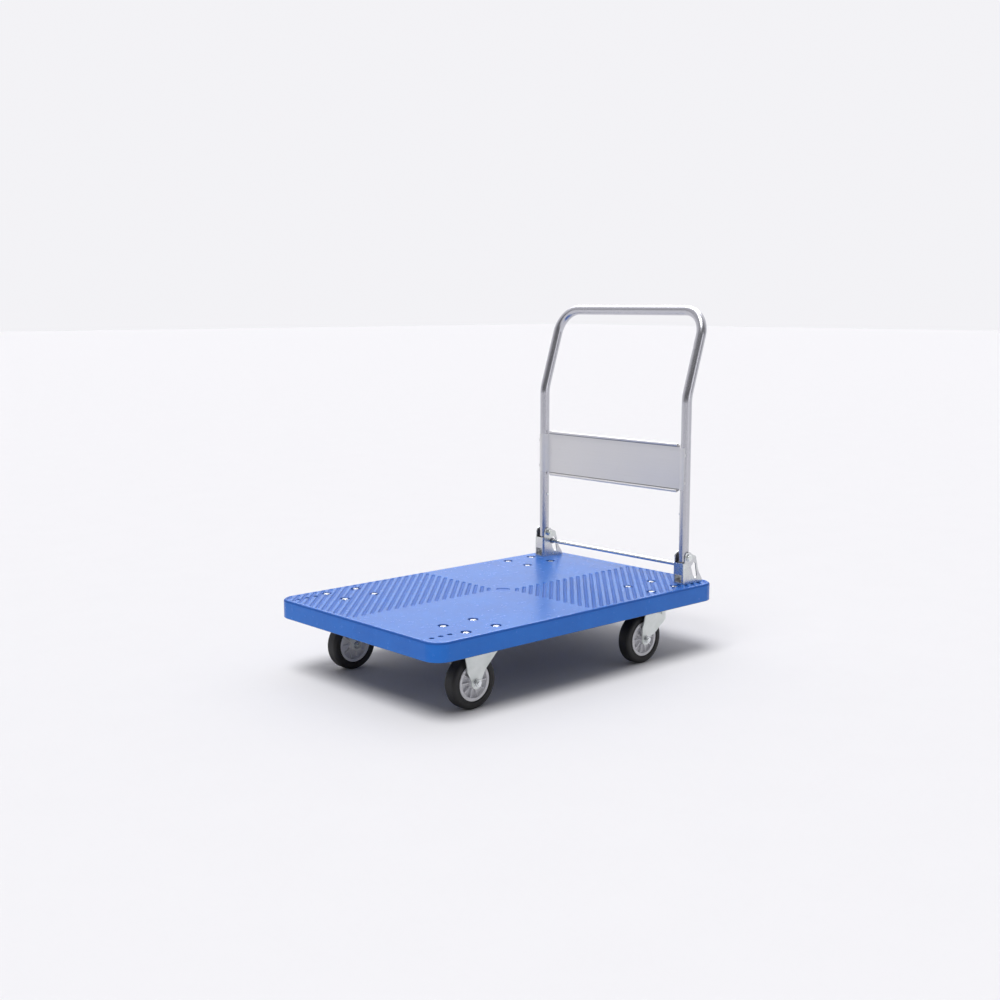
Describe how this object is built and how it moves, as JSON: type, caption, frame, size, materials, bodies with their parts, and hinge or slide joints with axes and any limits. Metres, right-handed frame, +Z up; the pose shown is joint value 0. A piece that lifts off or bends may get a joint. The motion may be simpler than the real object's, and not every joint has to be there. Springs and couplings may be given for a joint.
{
  "type": "folding platform cart",
  "caption": "Flat-deck hand cart with a fold-down tubular push handle, a sprung foot lock bar, fixed front casters and swivel rear casters.",
  "frame": {"origin": "centre of the bounding box in plan, on the floor under the tyres", "axes": "+X towards the handle end, +Z up, +Y to the right of someone who stands at the handle end and faces the deck"},
  "size_m": [0.9377, 0.6, 0.8873],
  "materials": {
    "deck_plastic": "satin",
    "zinc_steel": "satin",
    "stop_rubber": "matte",
    "satin_tube": "satin",
    "satin_sheet": "satin",
    "spacer_plastic": "matte",
    "spring_steel": "satin",
    "hub_plastic": "satin",
    "tyre_rubber": "matte",
    "bearing_plastic": "matte"
  },
  "bodies": {
    "platform": {"deck_shell": "deck_plastic", "caster_bolts": "zinc_steel", "caster_washers": "zinc_steel", "caster_nuts": "zinc_steel", "bracket_left": "zinc_steel", "bracket_right": "zinc_steel", "bracket_bolts": "zinc_steel", "bracket_nuts": "zinc_steel", "stop_pads": "stop_rubber", "pivot_bolts": "zinc_steel", "pivot_nuts": "zinc_steel", "lock_spring_left": "spring_steel", "lock_spring_right": "spring_steel", "front_left_fork": "zinc_steel", "front_left_axle": "zinc_steel", "front_left_nut": "zinc_steel", "rear_left_plate": "zinc_steel", "rear_left_kingpin": "zinc_steel", "front_right_fork": "zinc_steel", "front_right_axle": "zinc_steel", "front_right_nut": "zinc_steel", "rear_right_plate": "zinc_steel", "rear_right_kingpin": "zinc_steel"},
    "handle": {"handle_hoop": "satin_tube", "handle_leg_left": "satin_tube", "handle_leg_right": "satin_tube", "handle_panel": "satin_sheet", "joint_screws": "zinc_steel", "pivot_spacers": "spacer_plastic"},
    "lock": {"lock_bar": "zinc_steel", "lock_clips": "spring_steel"},
    "swivel_left": {"rear_left_race": "zinc_steel", "rear_left_fork": "zinc_steel", "rear_left_axle": "zinc_steel", "rear_left_nut": "zinc_steel"},
    "swivel_right": {"rear_right_race": "zinc_steel", "rear_right_fork": "zinc_steel", "rear_right_axle": "zinc_steel", "rear_right_nut": "zinc_steel"},
    "wheel_front_left": {"front_left_hub": "hub_plastic", "front_left_tyre": "tyre_rubber", "front_left_bearing": "bearing_plastic"},
    "wheel_front_right": {"front_right_hub": "hub_plastic", "front_right_tyre": "tyre_rubber", "front_right_bearing": "bearing_plastic"},
    "wheel_rear_left": {"rear_left_hub": "hub_plastic", "rear_left_tyre": "tyre_rubber", "rear_left_bearing": "bearing_plastic"},
    "wheel_rear_right": {"rear_right_hub": "hub_plastic", "rear_right_tyre": "tyre_rubber", "rear_right_bearing": "bearing_plastic"}
  },
  "joints": [
    {"name": "handle_fold", "type": "hinge", "parent": "platform", "child": "handle", "pos_m": [0.38715, 0, 0.256], "axis": [0, -1, 0], "range_deg": [0, 90]},
    {"name": "lock_press", "type": "slide", "parent": "platform", "child": "lock", "axis": [0.3502, 0, -0.9367], "range_m": [0, 0.02], "stiffness_N_per_m": 600, "springref_m": -0.012, "deforming": ["lock_spring_left", "lock_spring_right"]},
    {"name": "swivel_left_turn", "type": "hinge", "parent": "platform", "child": "swivel_left", "pos_m": [0.30015, -0.222, 0.144], "axis": [0, 0, 1], "continuous": true},
    {"name": "swivel_right_turn", "type": "hinge", "parent": "platform", "child": "swivel_right", "pos_m": [0.30015, 0.222, 0.144], "axis": [0, 0, 1], "continuous": true},
    {"name": "front_left_spin", "type": "hinge", "parent": "platform", "child": "wheel_front_left", "pos_m": [-0.30785, -0.222, 0.0625], "axis": [0, 1, 0], "continuous": true},
    {"name": "rear_left_spin", "type": "hinge", "parent": "swivel_left", "child": "wheel_rear_left", "pos_m": [0.25715, -0.222, 0.0625], "axis": [0, 1, 0], "continuous": true},
    {"name": "front_right_spin", "type": "hinge", "parent": "platform", "child": "wheel_front_right", "pos_m": [-0.30785, 0.222, 0.0625], "axis": [0, 1, 0], "continuous": true},
    {"name": "rear_right_spin", "type": "hinge", "parent": "swivel_right", "child": "wheel_rear_right", "pos_m": [0.25715, 0.222, 0.0625], "axis": [0, 1, 0], "continuous": true}
  ]
}
